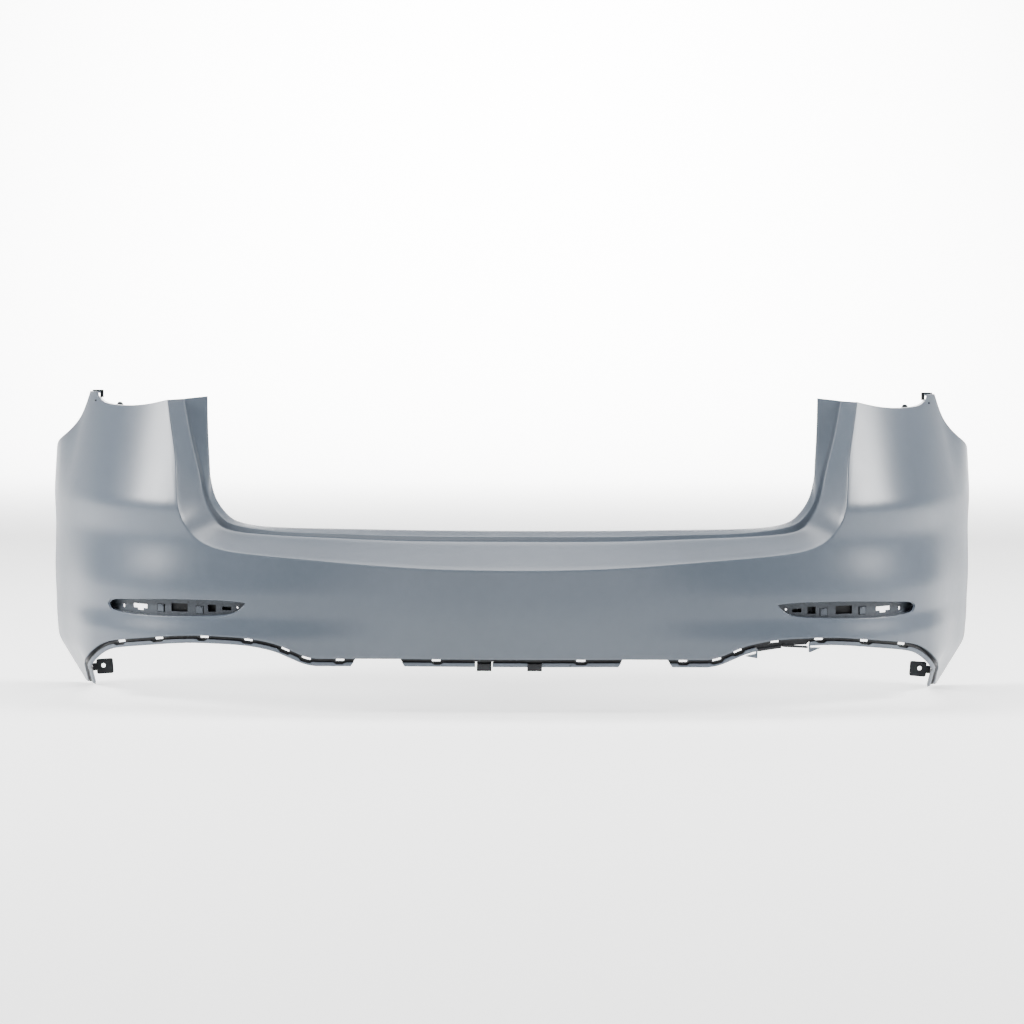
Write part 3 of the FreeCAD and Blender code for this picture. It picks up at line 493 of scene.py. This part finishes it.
def extrudeEdges(piece, pairs, moved):
    # pulls the edges between the given points out to where moved says
    points = startEditing(piece, "EDGE")
    points.verts.ensure_lookup_table()
    wanted = {frozenset(pair) for pair in pairs}
    chain = {index for pair in pairs for index in pair}
    for index in chain:
        for edge in points.verts[index].link_edges:
            if frozenset(v.index for v in edge.verts) in wanted:
                edge.select_set(True)
    bpy.ops.mesh.extrude_region_move(TRANSFORM_OT_translate={"value": (0, 0, 0)})
    points = bmesh.from_edit_mesh(piece.data)
    for vertex in points.verts:
        if vertex.select:
            vertex.co = inFrame(moved(inDrawing(vertex.co)))
    stopEditing(piece)


def makeSkin():
    piece = placedGrid("bumperSkin", len(columns), rowCount + 1, skinPlace)
    slotFirst = columnKinds.index("slot")
    slotLast = archStart - 1
    hole = {frozenset(pointIndex(i + a, slotRow + b) for a in (0, 1) for b in (0, 1))
            for i in range(slotFirst, slotLast)}
    points = startEditing(piece, "FACE")
    for face in points.faces:
        if frozenset(v.index for v in face.verts) in hole:
            face.select_set(True)
    bpy.ops.mesh.delete(type="FACE")
    stopEditing(piece)

    # the slot's sleeve runs straight forward, as deep as the turn-in
    rowsOfHole = [(pointIndex(i, slotRow + b), pointIndex(i + 1, slotRow + b))
                  for i in range(slotFirst, slotLast) for b in (0, 1)]
    rowsOfHole += [(pointIndex(i, slotRow), pointIndex(i, slotRow + 1)) for i in (slotFirst, slotLast)]

    def intoSleeve(place):
        normal = skinNormal(runAt(place.x, place.z), place.z)
        return place + Vector((0, slotShape["sleeve"] / abs(normal.y), 0))

    extrudeEdges(piece, rowsOfHole, intoSleeve)

    # turned-in edges: forward along the top, across at the wheel arch and the seam
    archFirst = archStart + 1
    while columns[archFirst][1][-1][1] < 5 or runAt(484, 4, axis=1) > columns[archFirst][1][-1][0] + 0.1:
        archFirst += 1
    last = len(columns) - 1
    rim = [(pointIndex(i, rowCount), pointIndex(i + 1, rowCount)) for i in range(archFirst, last)]
    rim += [(pointIndex(last, j), pointIndex(last, j + 1)) for j in range(creaseRow, rowCount)]
    cornerAt = max((Vector(skinPlace(last, j)) for j in range(creaseRow, rowCount + 1)), key=lambda p: p.z)

    def turnedIn(place):
        # both turn-ins run out to nothing where they meet in the spike
        depth = skinShape["turnIn"] * max(skinShape["turnInLeast"], easeStep(
            skinShape["fadeFrom"], skinShape["fadeTo"], (place - cornerAt).length))
        onTop = place.y < cornerAt.y - 0.5 and place.z > cornerAt.z - 60
        if onTop:
            normal = skinNormal(runAt(place.x, place.z), place.z)
            return place + Vector((0, depth / abs(normal.y), 0))
        normal = skinNormal(runAt(place.y, place.z, axis=1), place.z)
        return place + Vector((-depth / abs(normal.x), 0, 0))

    extrudeEdges(piece, rim, turnedIn)
    finishWith(piece, "MIRROR", use_clip=True, merge_threshold=0.00001)
    finishWith(piece, "BEVEL", limit_method="ANGLE", angle_limit=math.radians(skinShape["edgeAngle"]),
               width=skinShape["edgeRadius"] * 0.001, segments=3, use_clamp_overlap=True)
    finishWith(piece, "SOLIDIFY", thickness=skinShape["wall"] * 0.001, offset=-1, use_even_offset=True)
    finishWith(piece, "BEVEL", limit_method="ANGLE", angle_limit=math.radians(skinShape["hemAngle"]),
               width=skinShape["hemRadius"] * 0.001, segments=2, use_clamp_overlap=True)
    smoothBelow(piece, skinShape["smoothAngle"])
    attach(piece, "cover")
    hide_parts("bumper_skin")
    return piece


skin = makeSkin()
print("skin made:", len(skin.data.polygons), "faces")


class Signal:
    # one shader socket that takes part in sums
    def __init__(self, finish, socket):
        self.finish, self.socket = finish, socket

    def math(self, operation, first, second):
        return self.finish.add("ShaderNodeMath", {"operation": operation}, {0: first, 1: second})

    def __add__(self, other):
        return self.math("ADD", self, other)

    def __radd__(self, other):
        return self.math("ADD", other, self)

    def __sub__(self, other):
        return self.math("SUBTRACT", self, other)

    def __rsub__(self, other):
        return self.math("SUBTRACT", other, self)

    def __mul__(self, other):
        return self.math("MULTIPLY", self, other)

    def __rmul__(self, other):
        return self.math("MULTIPLY", other, self)


class Finish:
    # a material under construction
    def __init__(self, name, **constants):
        self.material = bpy.data.materials.new(name)
        self.material.use_nodes = True
        self.tree = self.material.node_tree
        self.shader = self.tree.nodes["Principled BSDF"]
        for socket, value in constants.items():
            self.shader.inputs[socket.replace("_", " ")].default_value = value

    def add(self, kind, settings, values, output=0):
        node = self.tree.nodes.new(kind)
        for name, value in settings.items():
            setattr(node, name, value)
        for name, value in values.items():
            if isinstance(value, Signal):
                self.tree.links.new(value.socket, node.inputs[name])
            else:
                node.inputs[name].default_value = value
        return Signal(self, node.outputs[output])

    def place(self):
        return self.add("ShaderNodeTexCoord", {}, {}, output="Object")

    def noise(self, scale, detail=2.0, roughness=0.5, place=None):
        return self.add("ShaderNodeTexNoise", {}, {"Vector": place or self.place(), "Scale": scale,
                                                   "Detail": detail, "Roughness": roughness})

    def mixed(self, factor, first, second):
        return self.add("ShaderNodeMix", {"data_type": "RGBA"}, {0: factor, 6: first, 7: second}, output=2)

    def spread(self, value, low, high, toLow=0.0, toHigh=1.0):
        return self.add("ShaderNodeMapRange", {"interpolation_type": "SMOOTHSTEP"},
                        {"Value": value, "From Min": low, "From Max": high,
                         "To Min": toLow, "To Max": toHigh})

    def relief(self, height, strength, distance):
        return self.add("ShaderNodeBump", {}, {"Height": height, "Strength": strength, "Distance": distance},
                        output="Normal")

    def into(self, **links):
        for name, value in links.items():
            self.tree.links.new(value.socket, self.shader.inputs[name.replace("_", " ")])
        return self.material


paint = {
    "primer": (0.055, 0.069, 0.089, 1), "primerDeep": (0.050, 0.063, 0.081, 1),
    "rawBlack": (0.0065, 0.0075, 0.0095, 1), "rawBlackWorn": (0.014, 0.016, 0.019, 1),
    "mist": (0.072, 0.086, 0.105, 1),
    "peelSize": 620.0, "peelStrength": 0.16, "peelDepth": 0.0002,
    "grainSize": 2100.0, "grainStrength": 0.30, "grainDepth": 0.00025, "dustSize": 2100.0,
}


def makePrimer():
    # sprayed primer: satin, with a faint orange peel and slow changes of tone
    finish = Finish("primerGrey", Specular_IOR_Level=0.45, Coat_Roughness=0.25)
    slow = finish.noise(3.2, 3.0)
    fine = finish.noise(46.0, 4.0, 0.6)
    tone = finish.spread(slow * 0.65 + fine * 0.35, 0.34, 0.66)
    peel = finish.noise(paint["peelSize"], 1.5)
    dust = finish.spread(finish.noise(paint["dustSize"], 1.0), 0.71, 0.80)
    colour = finish.mixed(tone, paint["primerDeep"], paint["primer"])
    return finish.into(Base_Color=colour, Roughness=0.33 + 0.05 * tone + 0.05 * dust,
                       Coat_Weight=0.05 + 0.10 * slow,
                       Normal=finish.relief(peel, paint["peelStrength"], paint["peelDepth"]))


def makeBlack(name, rough=0.52, mist=0.0, worn=0.5, veil=1.0):
    # grained black plastic; mist is how much of it is oversprayed with primer, veil how thickly
    finish = Finish(name, Specular_IOR_Level=0.28)
    grain = finish.add("ShaderNodeTexVoronoi", {"feature": "SMOOTH_F1"},
                       {"Vector": finish.place(), "Scale": paint["grainSize"], "Randomness": 1.0})
    slow = finish.noise(22.0, 4.0, 0.6)
    colour = finish.mixed(finish.spread(slow, 0.35, 0.7) * worn, paint["rawBlack"], paint["rawBlackWorn"])
    if mist:
        drift = finish.spread(finish.noise(60.0, 5.0, 0.65), 0.62 - mist * 0.55, 0.80 - mist * 0.45)
        colour = finish.mixed(drift * veil, colour, paint["mist"])
    return finish.into(Base_Color=colour, Roughness=rough - 0.12 * slow + 0.06,
                       Normal=finish.relief(grain, paint["grainStrength"], paint["grainDepth"]))


primerGrey = makePrimer()
# near-black with hardly any primer mist, for the rails' groove and the pockets: bare black plastic, and
# painted shade of the deep groove
grooveBlackAndPaintedShade = makeBlack("grooveBlackAndPaintedShade", rough=0.50, mist=0.05, veil=0.5)
lipMisted = makeBlack("lipMisted", rough=0.50, mist=0.85)
carrierBlack = makeBlack("carrierBlack", rough=0.46, mist=0.75, veil=0.42)
latchBlack = makeBlack("latchBlack", rough=0.42, worn=0.3, mist=0.90, veil=0.75)
bracketBlack = makeBlack("bracketBlack", rough=0.55, worn=0.7)
stakeBlack = makeBlack("stakeBlack", rough=0.34, worn=0.2)
gussetMisted = makeBlack("gussetMisted", rough=0.48, mist=0.70)
pinBlack = makeBlack("pinBlack", rough=0.40, worn=0.3)

skin.data.materials.append(primerGrey)
finishOf = {
    "lower_rail": grooveBlackAndPaintedShade, "reflector_carrier": carrierBlack, "reflector_latch": latchBlack,
    "heat_stakes": stakeBlack, "valance_hook": bracketBlack, "arch_bracket": bracketBlack,
    "seam_bracket": bracketBlack, "corner_clip": bracketBlack, "lamp_tab": bracketBlack,
    "locator_pin": pinBlack, "valance_gusset": gussetMisted, "link_bar": bracketBlack,
    "sill_stiffener": bracketBlack,
}
for nodeName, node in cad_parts.items():
    for start, material in finishOf.items():
        if nodeName.startswith(start):
            node.data.materials.clear()
            node.data.materials.append(material)
print("finishes made:", len(bpy.data.materials))

railShape = {
    "front": 3.5, "back": 10.5, "flange": 20.0, "ledge": -0.5, "windowFoot": -5.0, "grooveFoot": -7.0,
    "lipStep": -10.6, "lipFoot": -14.4, "hem": (5.6, -15.0), "wall": 2.5, "spacing": 5.5,
    "sideWindows": (325, 392, 430, 503, 594, 686, 768), "centreWindows": (-142, 134), "windowHalf": 8.5,
    "pocketMargin": 1.5,
    "hooks": (-52, 44), "hookHalf": 14.6, "linkGap": (466, 572), "linkFoot": -13.2,
    "sideStart": 297.0, "centreHalf": 213.0, "endSlant": 0.62, "slantColumns": 6,
    "steps": (14, 32, 64, 8),                        # columns on the flat, the rise, the belly and the tip
    "tipFade": 40.0, "lowest": 0.3,
    "edgeRadius": 0.9, "smoothAngle": 40.0,
}


def railRows(pocket, bare):
    # the section as (depth behind the skin, height over its lower edge); a pocket lowers the lip's top,
    # and where the lip is left out the groove's wall reaches down to the link bars
    shape = railShape
    front, back = shape["front"], shape["back"]
    lipTop = shape["linkFoot"] if bare else shape["lipStep"] if pocket else shape["grooveFoot"]
    return [(front, shape["flange"]), (front, shape["flange"] * 0.5), (front, shape["ledge"]),
            (back, shape["ledge"]), (back, shape["windowFoot"]), (back, lipTop + 0.2), (front, lipTop),
            (front, (lipTop + shape["lipFoot"]) / 2), (front, shape["lipFoot"]), shape["hem"]]


def railPath(side):
    # points of the skin's lower edge as (x, z), on the right half or across the middle
    if side == 0:
        half = railShape["centreHalf"]
        count = round(2 * half / railShape["spacing"])
        return [(-half + 2 * half * k / count, lowEdge) for k in range(count + 1)]
    start, (flatSteps, riseSteps, bellySteps, tipSteps) = railShape["sideStart"], railShape["steps"]
    points = [(start + (flatEnd - start) * k / flatSteps, lowEdge) for k in range(flatSteps)]
    points += [riseCurve(k / riseSteps) for k in range(riseSteps)]
    points += [bellyCurve(k / bellySteps) for k in range(bellySteps)]
    return [tuple(p[:2]) for p in points + [tipCurve(k / tipSteps) for k in range(tipSteps + 1)]]


def makeRail(name, side):
    path = railPath(side)
    last = len(path) - 1
    flip = -1 if side < 0 else 1
    windows = railShape["sideWindows"] if side else railShape["centreWindows"]

    def inWindow(x, extra=0.0):
        return any(abs(x - w) < railShape["windowHalf"] + extra for w in windows)

    def linked(x):
        return side == 1 and railShape["linkGap"][0] < x < railShape["linkGap"][1]

    def atHook(x):
        return side == 0 and any(abs(x - h) < railShape["hookHalf"] for h in railShape["hooks"])

    def placeOf(i, j):
        x, z = path[last - i] if side < 0 else path[i]
        k = last - i if side < 0 else i
        before, after = Vector(path[max(k - 1, 0)]), Vector(path[min(k + 1, last)])
        along = (after - before).normalized()
        up = Vector((-along.y, along.x))
        depth, rise = railRows(inWindow(x, railShape["pocketMargin"]), linked(x))[j]
        if side and rise > 0:
            rise *= min(1.0, (z - 2) / railShape["tipFade"])    # the flange narrows into the tip
        slant = railShape["endSlant"] * min(rise, 0)
        shift = -slant * max(0.0, 1 - k / railShape["slantColumns"])    # the cut ends lean inwards
        if side == 0:
            shift += slant * max(0.0, 1 - (last - k) / railShape["slantColumns"])
        wantX, wantZ = x + up.x * rise + shift, z + up.y * rise
        run = runAt(wantX, max(wantZ, 4)) if wantX >= 0 else -runAt(-wantX, max(wantZ, 4))
        normal = skinNormal(run, max(wantZ, 4))
        point = skinPoint(run, max(wantZ, 4)) - normal * depth
        return Vector((flip * point.x, point.y, max(wantZ, railShape["lowest"])))

    rail = placedGrid(name, last + 1, 10, placeOf)
    wide = last + 1
    mesh = startEditing(rail, "FACE")
    mesh.faces.ensure_lookup_table()
    gone = []
    for face in mesh.faces:
        corners = [v.index for v in face.verts]
        i, j = min(c % wide for c in corners), 9 - max(c // wide for c in corners)
        k = last - i - 1 if side < 0 else i
        x = (path[k][0] + path[k + 1][0]) / 2
        # the lip rows take the primer-misted grey; the flange and groove rows stay near-black, bare plastic
        # and painted shade of the groove
        face.material_index = 1 if j >= 6 else 0
        if (j == 3 and inWindow(x)) or (j >= 5 and linked(x)) or (j >= 4 and atHook(x)):
            gone.append(face)
    for face in gone:
        face.select_set(True)
    bpy.ops.mesh.delete(type="FACE")
    stopEditing(rail)
    finishWith(rail, "BEVEL", limit_method="ANGLE", angle_limit=math.radians(railShape["smoothAngle"]),
               width=railShape["edgeRadius"] * 0.001, segments=2, use_clamp_overlap=True)
    finishWith(rail, "SOLIDIFY", thickness=railShape["wall"] * 0.001, offset=-1, use_even_offset=True,
               thickness_clamp=1.2, use_thickness_angle_clamp=True)
    finishWith(rail, "WELD", merge_threshold=0.00002)
    smoothBelow(rail, railShape["smoothAngle"])
    rail.data.materials.append(grooveBlackAndPaintedShade)
    rail.data.materials.append(lipMisted)
    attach(rail, "cover")
    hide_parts({1: "lower_rail_right", -1: "lower_rail_left", 0: "lower_rail_centre"}[side])


for railName, railSide in (("railRight", 1), ("railLeft", -1), ("railCentre", 0)):
    makeRail(railName, railSide)
print("rails made")

pocketShape = {
    "wall": 1.2, "behind": 19.4, "deep": 15.0,
    "floorSlope": 0.45, "slopedFrom": 30.0,          # pockets wider than this have a sloping floor
    "cells": ((639.5, 0.0, 37, 20), (677, -4, 19, 19), (599, -4, 19, 19),
              (575, 0.0, 20, 18), (546, 0.5, 22, 11)),    # x, height over the slot's middle, width, height
}


def makePockets(name, side):
    # blind pockets behind the carrier's clip windows, open to the front
    parts = []
    for x, lift, wide, tall in pocketShape["cells"]:
        height = slotShape["middle"][1] + lift
        run = runAt(x, height)
        for _ in range(4):
            moved = skinPoint(run, height) - skinNormal(run, height) * pocketShape["behind"]
            run += (x - moved.x) / max(0.3, abs(skinNormal(run, height).y))
        normal = skinNormal(run, height)
        mouth = skinPoint(run, height) - normal * pocketShape["behind"]
        right, up = Vector((0, 0, 1)).cross(normal).normalized(), Vector((0, 0, 1))
        bpy.ops.object.select_all(action="DESELECT")
        bpy.ops.mesh.primitive_cube_add(size=1)
        part = bpy.context.object
        mesh = startEditing(part, "FACE")
        for face in mesh.faces:
            if face.normal.y < -0.5:
                face.select_set(True)
        bpy.ops.mesh.delete(type="ONLY_FACE")
        mesh = bmesh.from_edit_mesh(part.data)
        for vertex in mesh.verts:
            back = pocketShape["deep"] * (vertex.co.y + 0.5)
            if vertex.co.x * side > 0 and wide > pocketShape["slopedFrom"]:
                back *= pocketShape["floorSlope"]
            place = mouth + right * (side * vertex.co.x * wide) + up * (vertex.co.z * tall) - normal * back
            vertex.co = inFrame(Vector((side * place.x, place.y, place.z)))
        stopEditing(part)
        parts.append(part)
    bpy.ops.object.select_all(action="DESELECT")
    for part in parts:
        part.select_set(True)
    bpy.context.view_layer.objects.active = parts[0]
    bpy.ops.object.join()
    pockets = bpy.context.object
    pockets.name = pockets.data.name = name
    finishWith(pockets, "SOLIDIFY", thickness=pocketShape["wall"] * 0.001, offset=0.0)
    pockets.data.materials.append(grooveBlackAndPaintedShade)
    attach(pockets, "cover")


makePockets("pocketsRight", 1)
makePockets("pocketsLeft", -1)
print("pockets made")

studio = {
    "floorSize": 60.0, "wallAt": 12.0, "wallHeight": 14.0, "wallRadius": 5.0, "world": 0.24,
    "cameraPlace": (0, -6.3015, 0.82), "cameraPitch": -4.116, "cameraRoll": 0.2, "lens": 111.7,
    "lamps": {
        "leftBox": ((-5.1, -0.95, 2.9), (-0.80, -0.10, 0.50), (2.2, 1.8), 720.0),
        "rightBox": ((5.1, -0.95, 2.9), (0.80, -0.10, 0.50), (2.2, 1.8), 640.0),
        "frontBox": ((-1.2, -7.5, 5.2), (0.0, 0.0, 0.4), (3.0, 2.0), 170.0),
        "topBox": ((0.0, 0.9, 4.4), (0.0, 0.0, 0.2), (4.6, 1.6), 330.0),
        "wallBoxLeft": ((-1.3, 7.6, 4.6), (-1.3, 12.0, 1.0), (2.2, 3.0), 1700.0),
        "wallBoxRight": ((1.3, 7.6, 4.6), (1.3, 12.0, 1.0), (2.2, 3.0), 1700.0),
    },
}


def makeFloor():
    half = studio["floorSize"] / 2
    bpy.ops.object.select_all(action="DESELECT")
    bpy.ops.mesh.primitive_plane_add(size=1)
    floor = bpy.context.object
    floor.name = floor.data.name = "studioFloor"
    for vertex in floor.data.vertices:
        vertex.co = (math.copysign(half, vertex.co.x), studio["wallAt"] if vertex.co.y > 0 else -half, 0)
    mesh = startEditing(floor, "EDGE")
    for edge in mesh.edges:
        if all(v.co.y > 0 for v in edge.verts):
            edge.select_set(True)
    bpy.ops.mesh.extrude_region_move(TRANSFORM_OT_translate={"value": (0, 0, studio["wallHeight"])})
    stopEditing(floor)
    finishWith(floor, "BEVEL", width=studio["wallRadius"], segments=16)
    smoothBelow(floor, 60)
    # the paper glows as painted light: full white emission across the middle few metres of floor and wall,
    # fading to a dim glow further out to the sides
    finish = Finish("studioPaperPaintedGlow", Roughness=0.85, Specular_IOR_Level=0.2, Emission_Strength=0.55)
    soft = finish.noise(0.6, 2.0)
    across = finish.add("ShaderNodeSeparateXYZ", {}, {"Vector": finish.place()}, output="X")
    paintedLightPool = finish.mixed(finish.spread(across * across, 9.0, 40.0), (1, 1, 1, 1), (0.12, 0.12, 0.12, 1))
    floor.data.materials.append(finish.into(
        Emission_Color=paintedLightPool,
        Base_Color=finish.mixed(soft, (0.90, 0.90, 0.895, 1), (0.925, 0.925, 0.92, 1))))


def makeLight():
    world = bpy.data.worlds.new("studioWorld")
    bpy.context.scene.world = world
    world.use_nodes = True
    shade = world.node_tree.nodes["Background"]
    shade.inputs["Color"].default_value = (1.0, 1.0, 1.0, 1)
    shade.inputs["Strength"].default_value = studio["world"]
    for name, (place, target, size, power) in studio["lamps"].items():
        lamp = bpy.data.lights.new(name, "AREA")
        lamp.shape, lamp.size, lamp.size_y, lamp.energy = "RECTANGLE", size[0], size[1], power
        holder = bpy.data.objects.new(name, lamp)
        bpy.context.collection.objects.link(holder)
        holder.location = place
        holder.rotation_euler = (Vector(target) - Vector(place)).to_track_quat("-Z", "Y").to_euler()
        holder.visible_camera = False


def makeCamera():
    lens = bpy.data.cameras.new("viewCamera")
    lens.lens, lens.sensor_width = studio["lens"], 36.0
    holder = bpy.data.objects.new("viewCamera", lens)
    bpy.context.collection.objects.link(holder)
    holder.location = studio["cameraPlace"]
    tilt = Matrix.Rotation(math.radians(90 + studio["cameraPitch"]), 3, "X")
    holder.rotation_euler = (tilt @ Matrix.Rotation(math.radians(studio["cameraRoll"]), 3, "Z")).to_euler()
    bpy.context.scene.camera = holder


makeFloor()
makeLight()
makeCamera()
print("studio ready")
